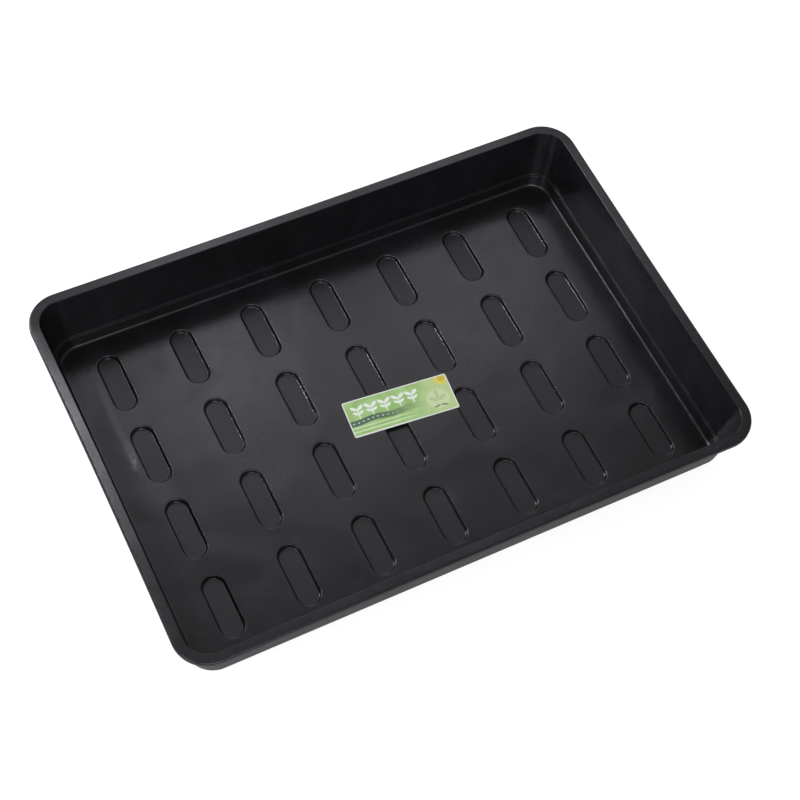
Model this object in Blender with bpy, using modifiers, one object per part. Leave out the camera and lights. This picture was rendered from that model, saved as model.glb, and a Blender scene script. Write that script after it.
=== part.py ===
"""Seed tray: one moulded shell that stands on the undersides of its floor pockets, with a label.

Metres, +Z up. The length runs along X and the width along Y. The origin is under the centre of the
tray, on the plane that its feet rest on.
"""
from math import cos, pi, radians, sin, tan

import bmesh
import bpy

# Overall size, over the rim and down to the feet
TRAY_LENGTH = 0.604
TRAY_WIDTH = 0.420
TRAY_HEIGHT = 0.0784

# Moulded wall, the same all over, and the slopes that let the tray out of its mould
WALL = 0.0014
WALL_DRAFT = radians(6.5)
RISER_DRAFT = radians(9.0)

# Rim: a flat land between two bends, and a lip that turns down outside
RIM_LAND = 0.0068
RIM_INSIDE_BEND = 0.0004
LIP_STRAIGHT = 0.0038

# Narrow ledge low on the inside wall, and the round between wall and floor
LEDGE_HEIGHT = 0.0135
LEDGE_WIDTH = 0.0023
FLOOR_FILLET = 0.0034
FLOOR_CORNER_RADIUS = 0.0200

# Pockets sunk in the floor, whose undersides are the feet, and the land between them
POCKET_LENGTH = 0.0694
POCKET_WIDTH = 0.0271
POCKET_DEPTH = 0.0040
POCKET_DRAFT = radians(9.0)
POCKET_MOUTH_INSIDE_BEND = 0.0004
POCKET_BOTTOM_FILLET = 0.0012
LAND_ALONG = 0.0511
LAND_ACROSS = 0.0190
LEAST_BORDER = 0.0110

# Label, laid across the land in the middle of the floor
LABEL_LENGTH = 0.1125
LABEL_WIDTH = 0.0415
LABEL_THICKNESS = 0.0004
LABEL_CORNER_RADIUS = 0.0018
LABEL_ALONG = 0.0140
LABEL_ACROSS = -0.0054
LABEL_TURN = radians(-5.0)
SEAT_GAP = 0.0003

# Steps that each round stretch is made in
CORNER_STEPS = 8
BEND_STEPS = 3
POCKET_END_STEPS = 6
POCKET_MOUTH_STEPS = 2
POCKET_BOTTOM_STEPS = 1
LABEL_CORNER_STEPS = 4

# Sizes on the visible side that follow from those above
FLOOR_TOP = POCKET_DEPTH + WALL
RIM_OUTSIDE_BEND = RIM_INSIDE_BEND + WALL
POCKET_MOUTH_BEND = POCKET_MOUTH_INSIDE_BEND + WALL


def clear_scene():
    """Remove everything that the file opened with."""
    for thing in list(bpy.data.objects):
        bpy.data.objects.remove(thing, do_unlink=True)
    for group in list(bpy.data.collections):
        bpy.data.collections.remove(group)


def plastic(name, colour, roughness):
    """A plain finish for one sub-part."""
    finish = bpy.data.materials.new(name)
    finish.use_nodes = True
    shader = finish.node_tree.nodes["Principled BSDF"]
    shader.inputs["Base Color"].default_value = (*colour, 1.0)
    shader.inputs["Roughness"].default_value = roughness
    shader.inputs["Metallic"].default_value = 0.0
    return finish


def arc(centre_x, centre_y, radius, start, end, steps):
    """Points along an arc, both ends included."""
    angles = [start + (end - start) * step / steps for step in range(steps + 1)]
    return [(centre_x + radius * cos(angle), centre_y + radius * sin(angle)) for angle in angles]


def rounded_outline(length, width, radius, steps):
    """A rectangle with round corners, anticlockwise from its +X +Y corner."""
    x = length / 2 - radius
    y = width / 2 - radius
    centres = [(x, y), (-x, y), (-x, -y), (x, -y)]
    outline = []
    for quarter, (centre_x, centre_y) in enumerate(centres):
        start = quarter * pi / 2
        outline += arc(centre_x, centre_y, radius, start, start + pi / 2, steps)
    return outline


def slot_outline(length, width):
    """A slot with half-round ends, its length along Y."""
    radius = width / 2
    y = length / 2 - radius
    far_end = arc(0.0, y, radius, 0.0, pi, POCKET_END_STEPS)
    near_end = arc(0.0, -y, radius, pi, 2 * pi, POCKET_END_STEPS)
    return far_end + near_end


def wall_profile():
    """The visible side's section, from the flat floor's edge out to the bottom of the lip.

    Each point is how far it stands out from the flat floor, its height and the corner radius there.
    A level stretch or a bend widens the corner radius by as much as it stands out, and a sloping
    wall keeps it.
    """
    # Floor fillet, up to where it meets the sloping riser
    profile = []
    fillet = arc(0.0, FLOOR_TOP + FLOOR_FILLET, FLOOR_FILLET, -pi / 2, -RISER_DRAFT, BEND_STEPS)
    for out, height in fillet:
        profile.append((out, height, FLOOR_CORNER_RADIUS + out))

    # Riser and ledge
    out, height, corner = profile[-1]
    ledge_top = FLOOR_TOP + LEDGE_HEIGHT
    out += (ledge_top - height) * tan(RISER_DRAFT)
    profile.append((out, ledge_top, corner))
    out += LEDGE_WIDTH
    corner += LEDGE_WIDTH
    profile.append((out, ledge_top, corner))

    # Wall, up to the rim's inner bend, which turns it level
    bend_centre_height = TRAY_HEIGHT - RIM_OUTSIDE_BEND
    bend_start_height = bend_centre_height + RIM_OUTSIDE_BEND * sin(WALL_DRAFT)
    out += (bend_start_height - ledge_top) * tan(WALL_DRAFT)
    inner_bend_centre = out + RIM_OUTSIDE_BEND * cos(WALL_DRAFT)
    inner_bend = arc(inner_bend_centre, bend_centre_height, RIM_OUTSIDE_BEND, pi - WALL_DRAFT, pi / 2, BEND_STEPS)
    outer_bend_centre = inner_bend_centre + RIM_LAND
    outer_bend = arc(outer_bend_centre, bend_centre_height, RIM_OUTSIDE_BEND, pi / 2, 0.0, BEND_STEPS)
    lip_end = (outer_bend[-1][0], bend_centre_height - LIP_STRAIGHT)
    for bend_out, bend_height in inner_bend + outer_bend + [lip_end]:
        profile.append((bend_out, bend_height, corner + bend_out - out))
    return profile


def pocket_profile():
    """A pocket's section: how far each point lies inside the mouth, and its height."""
    # Mouth, bent down until it has the side's slope
    mouth = arc(0.0, FLOOR_TOP - POCKET_MOUTH_BEND, POCKET_MOUTH_BEND, pi / 2, POCKET_DRAFT, POCKET_MOUTH_STEPS)

    # Bottom fillet, drawn from the foot of the side, which slopes in by its share of the height
    bottom_centre = FLOOR_TOP - POCKET_DEPTH + POCKET_BOTTOM_FILLET
    bottom = arc(0.0, bottom_centre, POCKET_BOTTOM_FILLET, pi + POCKET_DRAFT, 1.5 * pi, POCKET_BOTTOM_STEPS)
    side_run = (mouth[-1][1] - bottom[0][1]) * tan(POCKET_DRAFT)
    shift = mouth[-1][0] + side_run - bottom[0][0]
    return mouth + [(inside + shift, height) for inside, height in bottom]


def flat_floor_size():
    """Length and width of the floor's flat part."""
    reach = wall_profile()[-1][0]
    return TRAY_LENGTH - 2 * reach, TRAY_WIDTH - 2 * reach


def evenly_spaced(flat, size, land):
    """Places of as many pockets as fit along a floor of this size, centred on it."""
    pitch = size + land
    count = 1 + int((flat - 2 * LEAST_BORDER - size) / pitch)
    return [(place - (count - 1) / 2) * pitch for place in range(count)]


def pocket_centres():
    """Centres of the pockets, row by row."""
    floor_length, floor_width = flat_floor_size()
    columns = evenly_spaced(floor_length, POCKET_WIDTH, LAND_ALONG)
    rows = evenly_spaced(floor_width, POCKET_LENGTH, LAND_ACROSS)
    return [(x, y) for y in rows for x in columns]


def placed(outline, height, centre=(0.0, 0.0)):
    """A flat outline moved to its centre and height."""
    return [(centre[0] + x, centre[1] + y, height) for x, y in outline]


def closed_ring(mesh, corners):
    """The edges round a ring of corners, drawn where they are missing."""
    pairs = zip(corners, corners[1:] + corners[:1])
    return [mesh.edges.get(pair) or mesh.edges.new(pair) for pair in pairs]


def extruded_band(mesh, outlines):
    """Draw the first outline and extrude it through the others, corner to corner.

    Returns the edges of the first ring and of the last.
    """
    corners = [mesh.verts.new(point) for point in outlines[0]]
    ring = first_ring = closed_ring(mesh, corners)
    for outline in outlines[1:]:
        extruded = set(bmesh.ops.extrude_edge_only(mesh, edges=ring)["geom"])
        next_corners = []
        for corner in corners:
            neighbours = [edge.other_vert(corner) for edge in corner.link_edges]
            next_corners += [neighbour for neighbour in neighbours if neighbour in extruded]
        for corner, point in zip(next_corners, outline):
            corner.co = point
        corners = next_corners
        ring = closed_ring(mesh, corners)
    return first_ring, ring


def add_pocket(mesh, centre):
    """Sink one pocket and return the edges of its mouth."""
    outlines = []
    for inside, height in pocket_profile():
        outline = slot_outline(POCKET_LENGTH - 2 * inside, POCKET_WIDTH - 2 * inside)
        outlines.append(placed(outline, height, centre))
    mouth, bottom = extruded_band(mesh, outlines)
    bmesh.ops.contextual_create(mesh, geom=bottom)
    return mouth


def tray_surface():
    """The tray's visible side as one open surface, its faces turned up and inwards."""
    mesh = bmesh.new()
    floor_length, floor_width = flat_floor_size()
    outlines = []
    for out, height, corner in wall_profile():
        outline = rounded_outline(floor_length + 2 * out, floor_width + 2 * out, corner, CORNER_STEPS)
        outlines.append(placed(outline, height))
    floor_edge, _ = extruded_band(mesh, outlines)

    floor_edges = list(floor_edge)
    for centre in pocket_centres():
        floor_edges += add_pocket(mesh, centre)
    bmesh.ops.triangle_fill(mesh, edges=floor_edges, use_beauty=True, normal=(0.0, 0.0, 1.0))
    face_up(mesh)
    return mesh


def face_up(mesh):
    """Turn an open surface's faces to one side, the side that is up where the surface is level."""
    bmesh.ops.recalc_face_normals(mesh, faces=mesh.faces)
    if sum(face.normal.z * face.calc_area() for face in mesh.faces) < 0:
        bmesh.ops.reverse_faces(mesh, faces=mesh.faces)


def thickened(name, mesh, thickness, finish, collection):
    """An object whose wall grows from the back of an open surface."""
    data = bpy.data.meshes.new(name)
    mesh.to_mesh(data)
    mesh.free()
    data.materials.append(finish)
    data.shade_smooth()
    data.set_sharp_from_angle(angle=radians(50.0))
    piece = bpy.data.objects.new(name, data)
    collection.objects.link(piece)
    solidify = piece.modifiers.new("wall", "SOLIDIFY")
    solidify.thickness = thickness
    solidify.offset = -1.0
    solidify.solidify_mode = "NON_MANIFOLD"
    solidify.nonmanifold_thickness_mode = "CONSTRAINTS"
    return piece


def make_tray(collection):
    """The moulded tray, its even wall grown outwards from the visible side."""
    finish = plastic("black_plastic", (0.012, 0.012, 0.014), 0.42)
    return thickened("tray", tray_surface(), WALL, finish, collection)


def make_label(collection):
    """The printed label, flat on the land and bridging the pockets beside it."""
    finish = plastic("label_film", (0.42, 0.62, 0.20), 0.45)
    mesh = bmesh.new()
    outline = rounded_outline(LABEL_LENGTH, LABEL_WIDTH, LABEL_CORNER_RADIUS, LABEL_CORNER_STEPS)
    mesh.faces.new([mesh.verts.new(point) for point in placed(outline, 0.0)])
    face_up(mesh)
    label = thickened("label", mesh, LABEL_THICKNESS, finish, collection)
    label.location = (LABEL_ALONG, LABEL_ACROSS, FLOOR_TOP + SEAT_GAP + LABEL_THICKNESS)
    label.rotation_euler = (0.0, 0.0, LABEL_TURN)
    return label


def main():
    clear_scene()
    collection = bpy.data.collections.new("seed_tray")
    bpy.context.scene.collection.children.link(collection)
    make_tray(collection)
    make_label(collection)


main()
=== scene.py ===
"""Seed tray, dressed: the moulded tray with its fine bends and satin finish, and its printed label.

Metres, +Z up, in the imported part's frame: the length runs along X and the width along Y, and the
feet stand on the plane z = 0. The left side is the one at -X, and the near side the one at -Y.
"""
from collections import namedtuple
from math import cos, pi, radians, sin, sqrt, tan

import bmesh
import bpy
from mathutils import Matrix, Vector


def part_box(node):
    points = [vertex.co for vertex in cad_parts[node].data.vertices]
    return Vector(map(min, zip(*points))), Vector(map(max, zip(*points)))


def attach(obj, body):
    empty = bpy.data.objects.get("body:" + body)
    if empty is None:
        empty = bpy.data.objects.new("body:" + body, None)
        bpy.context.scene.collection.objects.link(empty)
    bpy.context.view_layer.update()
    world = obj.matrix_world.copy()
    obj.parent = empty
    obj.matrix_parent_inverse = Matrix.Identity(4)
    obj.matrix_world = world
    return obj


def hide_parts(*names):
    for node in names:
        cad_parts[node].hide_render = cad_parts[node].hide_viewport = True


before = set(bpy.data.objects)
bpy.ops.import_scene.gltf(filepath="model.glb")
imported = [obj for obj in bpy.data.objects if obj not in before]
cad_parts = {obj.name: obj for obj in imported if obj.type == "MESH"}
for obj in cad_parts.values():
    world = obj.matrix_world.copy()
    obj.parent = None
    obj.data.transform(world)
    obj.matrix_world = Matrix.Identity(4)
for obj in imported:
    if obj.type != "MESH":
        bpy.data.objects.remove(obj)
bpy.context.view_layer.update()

tray_low, tray_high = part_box("tray")
label_low, label_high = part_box("label")

# Tray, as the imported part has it
TRAY_LENGTH = tray_high.x - tray_low.x
TRAY_WIDTH = tray_high.y - tray_low.y
TRAY_HEIGHT = tray_high.z - tray_low.z
WALL = 0.0014
WALL_DRAFT = radians(6.5)
RISER_DRAFT = radians(9.0)
LEDGE_HEIGHT = 0.0135
LEDGE_WIDTH = 0.0023
RIM_WIDTH = 0.0102
LIP_DROP = 0.0056
FLOOR_CORNER = 0.0229

# Pockets sunk in the floor, measured at their sharp mouths
POCKET_LENGTH = 0.0660
POCKET_WIDTH = 0.0236
POCKET_DEPTH = 0.0040
POCKET_DRAFT = radians(9.0)
POCKET_COLUMNS = 7
POCKET_ROWS = 4
POCKET_PITCH_ALONG = 0.0782
POCKET_PITCH_ACROSS = 0.0884
FLOOR_TOP = POCKET_DEPTH + WALL
POCKET_BOTTOM = FLOOR_TOP - POCKET_DEPTH

# Label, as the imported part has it: its middle, its turn on the floor, and its film
LABEL_LENGTH = 0.1125
LABEL_WIDTH = 0.0415
LABEL_CORNER = 0.0018
LABEL_MIDDLE = (label_low + label_high) / 2
LABEL_TURN = radians(-5.0)
LABEL_GAP = 0.00003
LABEL_UNDERSIDE = FLOOR_TOP + LABEL_GAP
LABEL_FILM = 0.00027

# Bends on the visible side, and the least radius that a mould leaves on an edge
FLOOR_BEND = 0.0031
LEDGE_EDGE_BEND = 0.0006
LEDGE_FOOT_BEND = 0.0006
RIM_INNER_BEND = 0.0008
RIM_OUTER_BEND = 0.0020
LIP_EDGE_BEND = 0.0004
POCKET_MOUTH_BEND = 0.0016
POCKET_BOTTOM_BEND = 0.0017
LEAST_BEND = 0.0003

# Flat rings drawn beside the first and last bends, which take their bevels
FLOOR_COLLAR = 0.008
POCKET_COLLAR = 0.003

# Steps that round stretches are made in, and the angle past which an edge stays sharp
PLAN_CORNER_STEPS = 24
SIDE_STEPS = 16
POCKET_END_STEPS = 16
BEND_STEPS = 6
SHARP_ANGLE = radians(40.0)

# Sides of the rim lean in a little at their middles, as a thin moulding cools, the left one most
SIDE_BOW = 0.0012
LEFT_BOW = 0.0021

# Slope of the rim down to its outer edge at the middle of a side: the left one droops, the others dish
SIDE_DROOP = radians(-2.2)
LEFT_DROOP = radians(10.0)

# A corner of a section: how far out and how high, the plan's corner radius there, and its own bend
Corner = namedtuple("Corner", "out height plan bend")

# A noise's lump size, detail, roughness and distortion, and the part of its range that makes a mask
Noise = namedtuple("Noise", "size detail roughness distortion low high")


def arc(centre_x, centre_y, radius, start, end, steps):
    """Points along an arc, both ends included."""
    angles = [start + (end - start) * step / steps for step in range(steps + 1)]
    return [(centre_x + radius * cos(angle), centre_y + radius * sin(angle)) for angle in angles]


def rounded_outline(length, width, radius):
    """A rectangle with round corners, anticlockwise, its straight sides divided."""
    x = length / 2 - radius
    y = width / 2 - radius
    outline = []
    for quarter, (centre_x, centre_y) in enumerate([(x, y), (-x, y), (-x, -y), (x, -y)]):
        start = quarter * pi / 2
        outline += arc(centre_x, centre_y, radius, start, start + pi / 2, PLAN_CORNER_STEPS)
    sides = len(outline) // 4
    divided = []
    for place, point in enumerate(outline):
        divided.append(point)
        if place % sides == sides - 1:
            after = Vector(outline[(place + 1) % len(outline)])
            for step in range(1, SIDE_STEPS):
                divided.append(tuple(Vector(point).lerp(after, step / SIDE_STEPS)))
    return divided


def slot_outline(length, width):
    """A slot with half-round ends, its length along Y."""
    radius = width / 2
    y = length / 2 - radius
    far_end = arc(0.0, y, radius, 0.0, pi, POCKET_END_STEPS)
    near_end = arc(0.0, -y, radius, pi, 2 * pi, POCKET_END_STEPS)
    return far_end + near_end


def turns(section):
    """Each corner of a section with the directions of the stretches before and after it."""
    spots = [Vector((corner.out, corner.height)) for corner in section]
    runs = [(after - before).normalized() for before, after in zip(spots, spots[1:])]
    return zip(section, runs[:1] + runs, runs + runs[-1:])


def through_wall(section):
    """The same section on the far side of an even wall.

    The wall lies to the right of the section's run. A corner that turns left has the tighter radius
    on this side, and one that turns right the wider.
    """
    moved = []
    for corner, before, after in turns(section):
        square_before = Vector((before.y, -before.x))
        square_after = Vector((after.y, -after.x))
        shift = (square_before + square_after) * WALL / (1 + square_before.dot(square_after))
        turns_left = before.cross(after) > 0
        bend = corner.bend + WALL if turns_left else max(corner.bend - WALL, LEAST_BEND)
        moved.append(Corner(corner.out + shift.x, corner.height + shift.y, corner.plan + shift.x, bend))
    return moved


def closed_ring(mesh, corners):
    """The edges round a ring of corners, drawn where they are missing."""
    pairs = zip(corners, corners[1:] + corners[:1])
    return [mesh.edges.get(pair) or mesh.edges.new(pair) for pair in pairs]


def extruded_band(mesh, outlines):
    """Draw the first outline and extrude it through the others, and return each ring's edges."""
    corners = [mesh.verts.new(point) for point in outlines[0]]
    rings = [closed_ring(mesh, corners)]
    for outline in outlines[1:]:
        extruded = set(bmesh.ops.extrude_edge_only(mesh, edges=rings[-1])["geom"])
        next_corners = []
        for corner in corners:
            neighbours = [edge.other_vert(corner) for edge in corner.link_edges]
            next_corners += [neighbour for neighbour in neighbours if neighbour in extruded]
        for corner, point in zip(next_corners, outline):
            corner.co = point
        corners = next_corners
        rings.append(closed_ring(mesh, corners))
    return rings


def round_bends(mesh, section, rings):
    """Bevel each ring to the radius that its corner of the section has."""
    for (corner, before, after), ring in zip(turns(section), rings):
        turn = before.angle(after)
        if turn > 0:
            bmesh.ops.bevel(mesh, geom=ring, offset=corner.bend * tan(turn / 2), offset_type="OFFSET",
                            affect="EDGES", segments=BEND_STEPS, profile=0.5, material=-1)


def wall_section():
    """The visible side's sharp section, from a ring on the floor out and over the rim to the lip."""
    ledge_top = FLOOR_TOP + LEDGE_HEIGHT
    riser_run = LEDGE_HEIGHT * tan(RISER_DRAFT)
    ledge_end = riser_run + LEDGE_WIDTH
    ledge_plan = FLOOR_CORNER + LEDGE_WIDTH
    rim_start = ledge_end + (TRAY_HEIGHT - ledge_top) * tan(WALL_DRAFT)
    rim_end = rim_start + RIM_WIDTH
    rim_plan = ledge_plan + RIM_WIDTH
    return [
        Corner(-FLOOR_COLLAR, FLOOR_TOP, FLOOR_CORNER - FLOOR_COLLAR, 0.0),
        Corner(0.0, FLOOR_TOP, FLOOR_CORNER, FLOOR_BEND),
        Corner(riser_run, ledge_top, FLOOR_CORNER, LEDGE_EDGE_BEND),
        Corner(ledge_end, ledge_top, ledge_plan, LEDGE_FOOT_BEND),
        Corner(rim_start, TRAY_HEIGHT, ledge_plan, RIM_INNER_BEND),
        Corner(rim_end, TRAY_HEIGHT, rim_plan, RIM_OUTER_BEND),
        Corner(rim_end, TRAY_HEIGHT - LIP_DROP, rim_plan, LIP_EDGE_BEND),
    ]


def pocket_section():
    """A pocket's sharp section, from a ring on the floor in to its bottom."""
    bottom_run = POCKET_DEPTH * tan(POCKET_DRAFT)
    return [
        Corner(-POCKET_COLLAR, FLOOR_TOP, 0.0, 0.0),
        Corner(0.0, FLOOR_TOP, 0.0, POCKET_MOUTH_BEND),
        Corner(bottom_run, POCKET_BOTTOM, 0.0, POCKET_BOTTOM_BEND),
        Corner(bottom_run + POCKET_COLLAR, POCKET_BOTTOM, 0.0, 0.0),
    ]


def pocket_centres():
    """Centres of the pockets, row by row."""
    places = []
    for row in range(POCKET_ROWS):
        for column in range(POCKET_COLUMNS):
            x = (column - (POCKET_COLUMNS - 1) / 2) * POCKET_PITCH_ALONG
            y = (row - (POCKET_ROWS - 1) / 2) * POCKET_PITCH_ACROSS
            places.append(Vector((x, y, 0.0)))
    return places


def add_pockets(mesh, section):
    """Sink every pocket to one section and return the edges that each leaves open on the floor."""
    open_edges = []
    for centre in pocket_centres():
        outlines = []
        for corner in section:
            outline = slot_outline(POCKET_LENGTH - 2 * corner.out, POCKET_WIDTH - 2 * corner.out)
            outlines.append([centre + Vector((x, y, corner.height)) for x, y in outline])
        rings = extruded_band(mesh, outlines)
        bmesh.ops.contextual_create(mesh, geom=rings[-1])
        round_bends(mesh, section, rings)
        open_edges += rings[0]
    return open_edges


def bow_sides(mesh):
    """Lean the middles of the four sides in, most at the rim, and slope the rim there."""
    for vert in mesh.verts:
        along = vert.co.x / (TRAY_LENGTH / 2)
        across = vert.co.y / (TRAY_WIDTH / 2)
        past_end = max(0.0, abs(vert.co.x) - TRAY_LENGTH / 2 + RIM_WIDTH)
        past_side = max(0.0, abs(vert.co.y) - TRAY_WIDTH / 2 + RIM_WIDTH)
        end_droop = LEFT_DROOP if along < 0 else SIDE_DROOP
        vert.co.z -= past_end * tan(end_droop) * (1 - across * across)
        vert.co.z -= past_side * tan(SIDE_DROOP) * (1 - along * along)
        lean = sqrt(max(0.0, (vert.co.z - FLOOR_TOP) / (TRAY_HEIGHT - FLOOR_TOP)))
        end_bow = LEFT_BOW if along < 0 else SIDE_BOW
        vert.co.x -= end_bow * lean * along * (1 - across * across)
        vert.co.y -= SIDE_BOW * lean * across * (1 - along * along)


def finished(name, mesh, finish):
    """An object made from a mesh, its faces pointing out and its round stretches smooth."""
    bmesh.ops.recalc_face_normals(mesh, faces=mesh.faces)
    data = bpy.data.meshes.new(name)
    mesh.to_mesh(data)
    mesh.free()
    data.materials.append(finish)
    data.shade_smooth()
    data.set_sharp_from_angle(angle=SHARP_ANGLE)
    piece = bpy.data.objects.new(name, data)
    bpy.context.scene.collection.objects.link(piece)
    # The large faces set the shading where they meet the bends
    even = piece.modifiers.new("even_shading", "WEIGHTED_NORMAL")
    even.keep_sharp = True
    even.weight = 100
    return piece


def make_tray(finish):
    """The whole moulding: one band from the floor over the rim and back under, and both floors."""
    mesh = bmesh.new()
    top_side = wall_section()
    under_side = through_wall(top_side)
    section = top_side + under_side[::-1]
    outlines = []
    for corner in section:
        inset = top_side[-1].out - corner.out
        outline = rounded_outline(TRAY_LENGTH - 2 * inset, TRAY_WIDTH - 2 * inset, corner.plan)
        outlines.append([(x, y, corner.height) for x, y in outline])
    rings = extruded_band(mesh, outlines)
    top_edges, under_edges = rings[0], rings[-1]
    round_bends(mesh, section, rings)

    pocket = pocket_section()
    top_edges = top_edges + add_pockets(mesh, pocket)
    under_edges = under_edges + add_pockets(mesh, through_wall(pocket))
    bmesh.ops.triangle_fill(mesh, edges=top_edges, use_beauty=True, normal=(0.0, 0.0, 1.0))
    bmesh.ops.triangle_fill(mesh, edges=under_edges, use_beauty=True, normal=(0.0, 0.0, -1.0))
    bow_sides(mesh)
    return finished("moulded_tray", mesh, finish)


def make_label(finish):
    """A thin film with round corners, laid askew on the floor and bridging the pockets under it."""
    mesh = bmesh.new()
    outline = rounded_outline(LABEL_LENGTH, LABEL_WIDTH, LABEL_CORNER)
    rings = extruded_band(mesh, [[(x, y, LABEL_UNDERSIDE) for x, y in outline],
                                 [(x, y, LABEL_UNDERSIDE + LABEL_FILM) for x, y in outline]])
    for ring in rings:
        bmesh.ops.contextual_create(mesh, geom=ring)
    turn = Matrix.Rotation(LABEL_TURN, 4, "Z")
    place = Matrix.Translation((LABEL_MIDDLE.x, LABEL_MIDDLE.y, 0.0))
    bmesh.ops.transform(mesh, matrix=place @ turn, verts=mesh.verts)
    return finished("printed_label", mesh, finish)


def new_finish(name):
    """A fresh material with its shader, and its object coordinates in metres."""
    finish = bpy.data.materials.new(name)
    finish.use_nodes = True
    tree = finish.node_tree
    spot = tree.nodes.new("ShaderNodeTexCoord").outputs["Object"]
    return finish, tree, tree.nodes["Principled BSDF"], spot


def feed(tree, socket, value):
    """Give a socket either a plain value or a link from another socket."""
    if isinstance(value, bpy.types.NodeSocket):
        tree.links.new(value, socket)
    else:
        socket.default_value = value


def worked(tree, operation, first, second=0.0, third=0.0):
    """One step of arithmetic."""
    node = tree.nodes.new("ShaderNodeMath")
    node.operation = operation
    for socket, value in zip(node.inputs, (first, second, third)):
        feed(tree, socket, value)
    return node.outputs[0]


def spread(tree, value, low, high, to_low=0.0, to_high=1.0):
    """A value's range laid on another range, with soft ends."""
    node = tree.nodes.new("ShaderNodeMapRange")
    node.interpolation_type = "SMOOTHSTEP"
    for socket, part in zip(node.inputs, (value, low, high, to_low, to_high)):
        feed(tree, socket, part)
    return node.outputs["Result"]


def placed(tree, coordinates, middle, turn, scale):
    """Coordinates measured from a middle, turned, in units of the scale."""
    node = tree.nodes.new("ShaderNodeMapping")
    node.vector_type = "TEXTURE"
    tree.links.new(coordinates, node.inputs["Vector"])
    node.inputs["Location"].default_value = middle
    node.inputs["Rotation"].default_value = (0.0, 0.0, turn)
    node.inputs["Scale"].default_value = scale
    return node.outputs["Vector"]


def grain(tree, coordinates, size, detail, roughness, distortion=0.0):
    """Soft noise whose lumps are about a size, in the coordinates' own unit."""
    node = tree.nodes.new("ShaderNodeTexNoise")
    tree.links.new(coordinates, node.inputs["Vector"])
    node.inputs["Scale"].default_value = 1.0 / size
    node.inputs["Detail"].default_value = detail
    node.inputs["Roughness"].default_value = roughness
    node.inputs["Distortion"].default_value = distortion
    return node.outputs["Fac"]


def blended(tree, share, first, second):
    """Two colours mixed by a share."""
    node = tree.nodes.new("ShaderNodeMix")
    node.data_type = "RGBA"
    feed(tree, node.inputs["Factor"], share)
    feed(tree, node.inputs["A"], first)
    feed(tree, node.inputs["B"], second)
    return node.outputs["Result"]


def patches(tree, coordinates, noise):
    """A mask of soft patches of a noise."""
    lumps = grain(tree, coordinates, noise.size, noise.detail, noise.roughness, noise.distortion)
    return spread(tree, lumps, noise.low, noise.high)


def disc(tree, coordinates, middle, half_length, half_width, turn, softness):
    """A mask that is one inside an oval, at any height, and fades at its edge."""
    scale = (half_length, half_width, ANY_HEIGHT)
    near = placed(tree, coordinates, (*middle, 0.0), radians(turn), scale)
    length = tree.nodes.new("ShaderNodeVectorMath")
    length.operation = "LENGTH"
    tree.links.new(near, length.inputs[0])
    return spread(tree, length.outputs["Value"], 1.0 + softness, 1.0 - softness)


def joined(tree, operation, masks):
    """Several masks made into one, MULTIPLY for where all are and MAXIMUM for where any is."""
    result = masks[0]
    for mask in masks[1:]:
        result = worked(tree, operation, result, mask)
    return result


def ovals(tree, coordinates, shapes):
    """A mask of all the ovals in a list."""
    return joined(tree, "MAXIMUM", [disc(tree, coordinates, *shape) for shape in shapes])


def marks(tree, coordinates, places, softness):
    """A mask of all the oval marks in a list, each with its own strength."""
    gathered = []
    for middle, half_length, half_width, turn, strength in places:
        mark = disc(tree, coordinates, middle, half_length, half_width, turn, softness)
        gathered.append(worked(tree, "MULTIPLY", mark, strength))
    return joined(tree, "MAXIMUM", gathered)


def summed(tree, start, shares):
    """A starting value, with each mask added in its share."""
    for mask, share in shares:
        start = worked(tree, "MULTIPLY_ADD", mask, share, start)
    return start


def relief(tree, height, strength, distance, under=None):
    """The normal of a fine relief, which may lie on another one."""
    node = tree.nodes.new("ShaderNodeBump")
    node.inputs["Strength"].default_value = strength
    node.inputs["Distance"].default_value = distance
    tree.links.new(height, node.inputs["Height"])
    if under is not None:
        tree.links.new(under, node.inputs["Normal"])
    return node.outputs["Normal"]


def parts_of(tree, coordinates):
    """The three coordinates one by one."""
    node = tree.nodes.new("ShaderNodeSeparateXYZ")
    tree.links.new(coordinates, node.inputs[0])
    return node.outputs


def flat_spot(tree, along, across):
    """Coordinates on the flat, from two that are worked out one by one."""
    node = tree.nodes.new("ShaderNodeCombineXYZ")
    tree.links.new(along, node.inputs[0])
    tree.links.new(across, node.inputs[1])
    return node.outputs[0]


def paint(red, green, blue):
    """A screen colour of 0 to 255 as a light-proportional one."""
    colour = []
    for part in (red / 255, green / 255, blue / 255):
        colour.append(part / 12.92 if part < 0.0405 else ((part + 0.055) / 1.055) ** 2.4)
    return (*colour, 1.0)


# Reach of a mask in height, past everything
ANY_HEIGHT = 1000.0

# Plastic's colours where it is clean, where film lies on it, and where it is worn, a grey that also
# paints light beside the left wall's shadow, and its sheen
CLEAN_PLASTIC = (0.0058, 0.0057, 0.0064, 1.0)
FILMED_PLASTIC = (0.032, 0.032, 0.037, 1.0)
WORN_AND_PAINTED_LIGHT_PLASTIC = (0.16, 0.16, 0.18, 1.0)
PLASTIC_ROUGHNESS = 0.225
PLASTIC_IOR = 1.49

# Heights over which a mask comes in, from the first to the second
BESIDE_BOTTOM = (POCKET_BOTTOM + 0.00003, POCKET_BOTTOM + 0.00012)
BELOW_UNDERSIDE = (FLOOR_TOP - WALL - 0.0002, FLOOR_TOP - WALL - 0.0006)
BELOW_FILLET = (FLOOR_TOP + 0.0012, FLOOR_TOP + 0.0002)
OUT_OF_POCKETS = (FLOOR_TOP - 0.0014, FLOOR_TOP - 0.0004)
UP_TO_RIM = (TRAY_HEIGHT - 0.0030, TRAY_HEIGHT - 0.0008)

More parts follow.
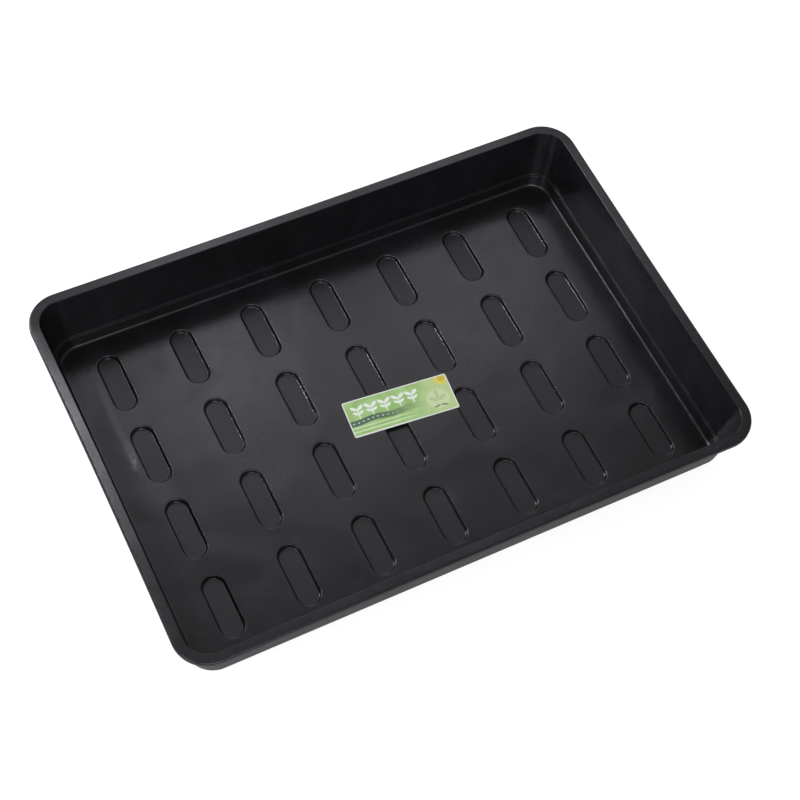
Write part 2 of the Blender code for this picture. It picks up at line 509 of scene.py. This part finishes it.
# Noises of the plastic's dust and handling, in metres
CLOUDS = Noise(0.060, 3.0, 0.55, 0.8, 0.36, 0.68)
MOTTLE = Noise(0.009, 3.0, 0.60, 0.4, 0.30, 0.75)
STREAKS = Noise(0.010, 2.0, 0.50, 0.0, 0.45, 0.80)
WIPES = Noise(0.016, 2.0, 0.50, 0.6, 0.30, 0.70)
SPECKS = Noise(0.0016, 1.0, 0.50, 0.0, 0.78, 0.84)
SCRATCHES = Noise(0.0022, 2.0, 0.60, 0.0, 0.62, 0.78)
BREAKS = Noise(0.0035, 2.0, 0.70, 0.0, 0.42, 0.60)

# Relief of the plastic: slow waves of a large thin moulding, and the fine texture of the mould
WAVE_SIZE = 0.070
WAVE_DEPTH = 0.0011
TEXTURE_SIZE = 0.0009
TEXTURE_DEPTH = 0.00012

# Handling marks on the floor: middle, half length and half width in metres, turn in degrees, strength
SMUDGES = [
    ((-0.136, -0.022), 0.034, 0.022, 40, 0.75),
    ((-0.165, 0.004), 0.020, 0.012, 70, 0.45),
    ((0.104, 0.050), 0.030, 0.020, 20, 0.60),
    ((0.119, 0.013), 0.010, 0.007, 0, 0.80),
    ((0.070, 0.000), 0.016, 0.008, 30, 0.30),
    ((-0.187, 0.058), 0.009, 0.004, 60, 0.70),
    ((-0.190, 0.043), 0.005, 0.003, 20, 0.60),
    ((-0.105, 0.020), 0.022, 0.012, 150, 0.35),
    ((-0.010, 0.078), 0.040, 0.016, 170, 0.30),
    ((0.000, -0.132), 0.020, 0.012, 15, 0.25),
    ((-0.082, -0.135), 0.012, 0.020, 0, 0.35),
]

# Pale strip on the floor along the left, beside the edge of the left wall's cast shadow: partly real
# scuffs, partly painted light that lightens the lit side of that shadow's edge; listed in the same way
SCUFFS_AND_PAINTED_LIGHT = [
    ((-0.2400, 0.075), 0.090, 0.0165, 90, 0.12),
    ((-0.2525, 0.085), 0.060, 0.0042, 90, 0.22),
    ((-0.2522, 0.052), 0.020, 0.0040, 88, 0.40),
]

# Pale flecks at the edge of that strip, listed in the same way
PALE_FLECKS = [
    ((-0.2520, 0.046), 0.006, 0.0026, 84, 0.8),
    ((-0.2540, 0.040), 0.005, 0.0024, 70, 0.9),
    ((-0.2475, 0.030), 0.006, 0.0020, 96, 0.4),
]


def height_masks(tree, height):
    """Masks of the pockets' bottoms, of the bends beside them, of the open floor and of the rim."""
    in_pocket = spread(tree, height, *BESIDE_BOTTOM[::-1])
    on_bends = joined(tree, "MULTIPLY", [spread(tree, height, *BESIDE_BOTTOM),
                                         spread(tree, height, *BELOW_UNDERSIDE)])
    on_floor = joined(tree, "MULTIPLY", [spread(tree, height, *BELOW_FILLET),
                                         spread(tree, height, *OUT_OF_POCKETS)])
    on_rim = spread(tree, height, *UP_TO_RIM)
    return in_pocket, on_bends, on_floor, on_rim


def plastic_finish():
    """Black moulded polypropylene: satin, grained on the pockets' bottoms, handled, and with light
    painted beside the left wall's shadow.
    """
    finish, tree, shader, spot = new_finish("black_plastic")
    in_pocket, on_bends, on_floor, on_rim = height_masks(tree, parts_of(tree, spot)[2])

    # Cloudy film of dust and handling, broken up by finer mottling
    clouds = patches(tree, spot, CLOUDS)
    mottle = patches(tree, spot, MOTTLE)
    specks = patches(tree, spot, SPECKS)
    slanting = placed(tree, spot, (0.0, 0.0, 0.0), radians(35.0), (0.25, 1.0, 1.0))
    streaks = worked(tree, "MULTIPLY", patches(tree, slanting, STREAKS), on_floor)
    wiped = worked(tree, "MULTIPLY_ADD", patches(tree, spot, WIPES), 0.60, 0.40)
    smudges = joined(tree, "MULTIPLY", [marks(tree, spot, SMUDGES, 0.95), wiped, on_floor])
    film = summed(tree, 0.0, [
        (mottle, 0.05),
        (clouds, 0.12),
        (streaks, 0.06),
        (smudges, 0.50),
        (specks, 0.25),
    ])

    # Wear on the rim, and on the floor pale flecks and a pale strip along the left that is partly scuffs
    # and partly painted light beside the left wall's shadow
    lengthwise = placed(tree, spot, (0.0, 0.0, 0.0), radians(12.0), (8.0, 1.0, 1.0))
    scratches = worked(tree, "MULTIPLY", patches(tree, lengthwise, SCRATCHES), on_rim)
    breaks = patches(tree, spot, BREAKS)
    pale_flecks = joined(tree, "MULTIPLY", [marks(tree, spot, PALE_FLECKS, 0.8), breaks, on_floor])
    # Partly scuffs, partly painted light on the lit side of the left wall's shadow edge
    scuffs_and_painted_light = worked(tree, "MULTIPLY", marks(tree, spot, SCUFFS_AND_PAINTED_LIGHT, 0.5), on_floor)
    wear_and_painted_light = summed(tree, 0.0, [
        (scratches, 0.10),
        (pale_flecks, 0.90),
        (scuffs_and_painted_light, 1.00),
    ])

    # Wear and the painted light beside the left wall's shadow turn the colour towards the worn grey
    handled = blended(tree, film, CLEAN_PLASTIC, FILMED_PLASTIC)
    feed(tree, shader.inputs["Base Color"], blended(tree, wear_and_painted_light, handled, WORN_AND_PAINTED_LIGHT_PLASTIC))
    roughness = summed(tree, PLASTIC_ROUGHNESS, [
        (clouds, 0.03),
        (mottle, 0.03),
        (smudges, 0.06),
        (in_pocket, 0.12),
        (on_bends, -0.13),
        (wear_and_painted_light, 0.30),
    ])
    feed(tree, shader.inputs["Roughness"], roughness)
    shader.inputs["IOR"].default_value = PLASTIC_IOR

    # Waves everywhere, and on them a texture that is deepest on the pockets' bottoms
    waves = relief(tree, grain(tree, spot, WAVE_SIZE, 1.0, 0.4, 0.3), 1.0, WAVE_DEPTH)
    depth = spread(tree, in_pocket, 0.0, 1.0, 0.22, 1.0)
    texture = worked(tree, "MULTIPLY_ADD", grain(tree, spot, TEXTURE_SIZE, 2.0, 0.6), depth,
                     worked(tree, "MULTIPLY", wear_and_painted_light, 0.6))
    feed(tree, shader.inputs["Normal"], relief(tree, texture, 0.35, TEXTURE_DEPTH, waves))
    return finish


# Unit that the print is laid out in, from the label's middle
PRINT_UNIT = 0.001

# Colours of the print and of the bare film
GROUND_GREEN = paint(150, 192, 108)
PATCH_GREEN = paint(172, 208, 136)
SIDE_GREEN = paint(208, 224, 158)
FURROW_GREEN = paint(214, 236, 186)
SOIL_GREEN = paint(80, 106, 84)
SEED_WHITE = paint(222, 236, 216)
PLANT_WHITE = paint(236, 246, 230)
PLATE_GREEN = paint(214, 226, 178)
LEAF_GREEN = paint(168, 190, 128)
SHADE_GREEN = paint(98, 124, 92)
SUN_YELLOW = paint(224, 214, 96)
CORE_YELLOW = paint(206, 178, 50)
BARE_FILM = paint(236, 240, 232)

# Ovals of the print: middle, half length and half width, turn in degrees, softness
SEED = [
    ((0.0, -4.8), 1.2, 0.75, 0, 0.30),
]
SEEDLING = [
    ((3.5, 10.8), 3.9, 1.85, 38, 0.15),
    ((2.9, 5.2), 3.1, 1.45, 30, 0.15),
    ((0.0, 4.4), 0.75, 6.0, 0, 0.30),
]
PLATE = [
    ((39.0, -4.5), 12.0, 11.0, 0, 0.08),
]
LEAVES = [
    ((39.0, 0.5), 5.4, 2.0, 90, 0.15),
    ((34.4, -4.0), 5.0, 1.8, 150, 0.15),
    ((43.6, -4.0), 5.0, 1.8, 30, 0.15),
]
SHADE = [
    ((35.5, -12.6), 3.6, 1.1, 12, 0.25),
    ((43.0, -12.8), 3.8, 1.1, -14, 0.25),
]
SUN = [
    ((49.5, 16.0), 7.0, 6.6, 0, 0.06),
]
SUN_CORE = [
    ((50.2, 16.8), 3.8, 3.4, 0, 0.20),
]

# Noise of the print's soft patches, and steps of the furrows, the seeds and the seedlings
GROUND_PATCHES = Noise(16.0, 2.0, 0.50, 0.5, 0.35, 0.70)
FURROW_STEP = 2.3
SEED_STEP = 2.6
SEEDLING_STEP = 7.3

# Film's unevenness: sizes of its wipes and buckles in the print's unit, and the buckles' depth in metres
WIPE_SIZE = 7.0
BUCKLE_SIZE = 14.0
BUCKLE_DEPTH = 0.00025


def printed(tree, ground, colour, mask, share=1.0):
    """A colour printed on the ground where a mask lies, in a share of its full strength."""
    return blended(tree, worked(tree, "MULTIPLY", mask, share), ground, colour)


def soil_print(tree, ground, along, across):
    """Pale furrows along the foot, and over them dark soil with seeds that thins out to the right."""
    furrow = worked(tree, "PINGPONG", worked(tree, "ADD", across, 15.2), FURROW_STEP)
    furrows = joined(tree, "MULTIPLY", [
        spread(tree, furrow, 1.3, 0.6),
        spread(tree, across, -9.6, -10.6),
        spread(tree, along, 22.0, -8.0),
    ])
    ground = printed(tree, ground, FURROW_GREEN, furrows, 0.85)

    swell = worked(tree, "MULTIPLY", worked(tree, "SINE", worked(tree, "MULTIPLY", along, 0.16)), 0.9)
    height = worked(tree, "SUBTRACT", across, swell)
    soil = joined(tree, "MULTIPLY", [
        spread(tree, height, -1.2, -1.9),
        spread(tree, height, -8.4, -7.6),
        spread(tree, along, 34.0, -30.0),
    ])
    ground = printed(tree, ground, SOIL_GREEN, soil)

    seed_spot = flat_spot(tree, worked(tree, "PINGPONG", along, SEED_STEP), height)
    seeds = worked(tree, "MULTIPLY", ovals(tree, seed_spot, SEED), spread(tree, along, 6.0, -30.0))
    return printed(tree, ground, SEED_WHITE, seeds, 0.8)


def seedling_print(tree, ground, along, across):
    """A row of pale seedlings at even steps."""
    step = worked(tree, "PINGPONG", worked(tree, "ADD", along, 43.4), SEEDLING_STEP)
    plants = joined(tree, "MULTIPLY", [
        ovals(tree, flat_spot(tree, step, across), SEEDLING),
        spread(tree, along, 22.6, 22.2),
        spread(tree, along, -51.0, -50.6),
    ])
    return printed(tree, ground, PLANT_WHITE, plants)


def label_finish():
    """Printed film: a light green ground, a row of seedlings on dark soil, a sun and a leafy disc."""
    finish, tree, shader, spot = new_finish("label_print")
    middle = (LABEL_MIDDLE.x, LABEL_MIDDLE.y, 0.0)
    print_spot = placed(tree, spot, middle, LABEL_TURN, (PRINT_UNIT, PRINT_UNIT, PRINT_UNIT))
    along, across, _ = parts_of(tree, print_spot)

    # Ground in soft patches, lighter to the right
    ground = blended(tree, patches(tree, print_spot, GROUND_PATCHES), GROUND_GREEN, PATCH_GREEN)
    ground = printed(tree, ground, SIDE_GREEN, spread(tree, along, 14.0, 40.0), 0.55)
    ground = soil_print(tree, ground, along, across)
    ground = seedling_print(tree, ground, along, across)

    # Leafy disc on the right, with a sun above it
    ground = printed(tree, ground, PLATE_GREEN, ovals(tree, print_spot, PLATE), 0.75)
    ground = printed(tree, ground, LEAF_GREEN, ovals(tree, print_spot, LEAVES), 0.55)
    ground = printed(tree, ground, SHADE_GREEN, ovals(tree, print_spot, SHADE), 0.8)
    ground = printed(tree, ground, SUN_YELLOW, ovals(tree, print_spot, SUN))
    ground = printed(tree, ground, CORE_YELLOW, ovals(tree, print_spot, SUN_CORE), 0.7)

    # Unprinted margin of bare film
    half_length = LABEL_LENGTH / 2 / PRINT_UNIT
    half_width = LABEL_WIDTH / 2 / PRINT_UNIT
    from_ends = worked(tree, "SUBTRACT", half_length, worked(tree, "ABSOLUTE", along))
    from_sides = worked(tree, "SUBTRACT", half_width, worked(tree, "ABSOLUTE", across))
    margin = spread(tree, worked(tree, "MINIMUM", from_ends, from_sides), 1.25, 0.95)
    feed(tree, shader.inputs["Base Color"], printed(tree, ground, BARE_FILM, margin))

    # Film wiped unevenly, and slightly buckled
    wipes = grain(tree, print_spot, WIPE_SIZE, 3.0, 0.6, 1.0)
    feed(tree, shader.inputs["Roughness"], spread(tree, wipes, 0.3, 0.7, 0.38, 0.52))
    buckles = grain(tree, print_spot, BUCKLE_SIZE, 2.0, 0.5)
    feed(tree, shader.inputs["Normal"], relief(tree, buckles, 0.6, BUCKLE_DEPTH))
    return finish


# Wide pale floor: its reach and its gap under the feet, and its own colour
FLOOR_HALF_SIZE = 6.0
FLOOR_GAP = 0.0002
FLOOR_COLOUR = (0.48, 0.48, 0.48, 1.0)

# Glow of the floor as the camera sees it, and as gloss and glass see it
FLOOR_LIFT = 0.78
FLOOR_GLOSS_LIFT = 0.12


def floor_finish():
    """Pale card, lifted to white for the camera, and a little where gloss or glass sees it."""
    finish = bpy.data.materials.new("floor_card")
    finish.use_nodes = True
    tree = finish.node_tree
    tree.nodes.remove(tree.nodes["Principled BSDF"])
    output = tree.nodes["Material Output"]
    card = tree.nodes.new("ShaderNodeBsdfDiffuse")
    card.inputs["Color"].default_value = FLOOR_COLOUR
    glow = tree.nodes.new("ShaderNodeEmission")
    path = tree.nodes.new("ShaderNodeLightPath")
    mirrored = worked(tree, "MAXIMUM", path.outputs["Is Glossy Ray"],
                      path.outputs["Is Transmission Ray"])
    mirrored = worked(tree, "MULTIPLY", mirrored, FLOOR_GLOSS_LIFT)
    lifted = worked(tree, "MULTIPLY_ADD", path.outputs["Is Camera Ray"], FLOOR_LIFT, mirrored)
    tree.links.new(lifted, glow.inputs["Strength"])
    both = tree.nodes.new("ShaderNodeAddShader")
    tree.links.new(card.outputs[0], both.inputs[0])
    tree.links.new(glow.outputs[0], both.inputs[1])
    tree.links.new(both.outputs[0], output.inputs["Surface"])
    return finish


def make_floor():
    """A wide pale floor just under the feet, which keeps the tray's shadow."""
    mesh = bmesh.new()
    bmesh.ops.create_grid(mesh, x_segments=1, y_segments=1, size=FLOOR_HALF_SIZE,
                          matrix=Matrix.Translation((0.0, 0.0, -FLOOR_GAP)))
    floor = finished("floor", mesh, floor_finish())


# Lamps round the tray: angle from +X and height in degrees, side in metres, power in watts
LAMP_DISTANCE = 2.4
LAMP_TINT = (0.94, 0.92, 1.0)
LAMPS = [
    ("left_low_panel", 135.0, 15.0, 0.80, 24.0),
    ("left_near_panel", 200.0, 35.0, 0.80, 10.0),
    ("near_low_panel", 252.0, 35.0, 1.60, 22.0),
    ("far_glow", 76.0, 56.5, 0.36, 1.35),
    ("high_glow", 76.0, 62.0, 0.36, 0.42),
    ("middle_glow", 58.0, 61.0, 0.30, 0.40),
    ("right_glow", 52.0, 51.0, 0.36, 0.95),
    ("right_edge_glow", 42.5, 54.5, 0.30, 0.30),
    ("left_glow", 112.0, 50.0, 0.36, 2.90),
    ("far_low_panel", 72.0, 35.0, 0.80, 5.0),
    ("rim_glint", 119.0, 55.0, 0.20, 2.50),
]

# Even light from all round, behind the lamps
WORLD_COLOUR = (0.97, 0.96, 1.0, 1.0)
WORLD_STRENGTH = 0.315

# Small lamp that draws the left wall's edge as a shadow, and glints on the pockets' lower bends
KEY_LAMP_PLACE = Vector((-1.15, 1.25, 2.08))
KEY_LAMP_WIDTH = 0.10
KEY_LAMP_LENGTH = 0.16
KEY_LAMP_POWER = 7.5


def lamp_at(name, place, width, length, power):
    """A soft lamp at a place, facing the middle of the tray."""
    data = bpy.data.lights.new(name, "AREA")
    data.shape = "RECTANGLE"
    data.size = width
    data.size_y = length
    data.energy = power
    data.color = LAMP_TINT
    lamp = bpy.data.objects.new(name, data)
    lamp.location = place
    lamp.rotation_euler = place.to_track_quat("Z", "Y").to_euler()
    bpy.context.scene.collection.objects.link(lamp)


def add_lamp(name, azimuth, elevation, side, power):
    """A soft square lamp round the tray, placed by its angle from +X and its height in degrees."""
    turn = Matrix.Rotation(radians(azimuth), 3, "Z") @ Matrix.Rotation(-radians(elevation), 3, "Y")
    lamp_at(name, turn @ Vector((LAMP_DISTANCE, 0.0, 0.0)), side, side, power)


def add_world():
    """Even light from all round."""
    world = bpy.data.worlds.new("studio")
    world.use_nodes = True
    sky = world.node_tree.nodes["Background"]
    sky.inputs["Color"].default_value = WORLD_COLOUR
    sky.inputs["Strength"].default_value = WORLD_STRENGTH
    bpy.context.scene.world = world


# Camera as the photograph's: its place, which way its right and its top point, and its lens
CAMERA_PLACE = Vector((-0.4788, -0.7388, 1.5140 + FLOOR_TOP))
CAMERA_RIGHT = Vector((0.8939, -0.4415, 0.0770))
CAMERA_UP = Vector((0.3483, 0.7925, 0.5006))
CAMERA_SENSOR = 36.0
CAMERA_LENS = 78.39
CAMERA_SHIFT = 0.000625


def add_camera():
    """The photograph's view of the tray."""
    data = bpy.data.cameras.new("camera")
    data.sensor_width = CAMERA_SENSOR
    data.lens = CAMERA_LENS
    data.shift_x = -CAMERA_SHIFT
    data.shift_y = CAMERA_SHIFT
    camera = bpy.data.objects.new("camera", data)
    back = CAMERA_RIGHT.cross(CAMERA_UP)
    turn = Matrix((CAMERA_RIGHT, CAMERA_UP, back)).transposed().to_4x4()
    camera.matrix_world = Matrix.Translation(CAMERA_PLACE) @ turn
    bpy.context.scene.collection.objects.link(camera)
    bpy.context.scene.camera = camera


add_camera()
add_world()
for lamp in LAMPS:
    add_lamp(*lamp)
lamp_at("key_lamp", KEY_LAMP_PLACE, KEY_LAMP_WIDTH, KEY_LAMP_LENGTH, KEY_LAMP_POWER)
make_floor()

tray = make_tray(plastic_finish())
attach(tray, "root")
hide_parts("tray")

label = make_label(label_finish())
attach(label, "root")
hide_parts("label")

bpy.context.scene.view_settings.view_transform = "Standard"
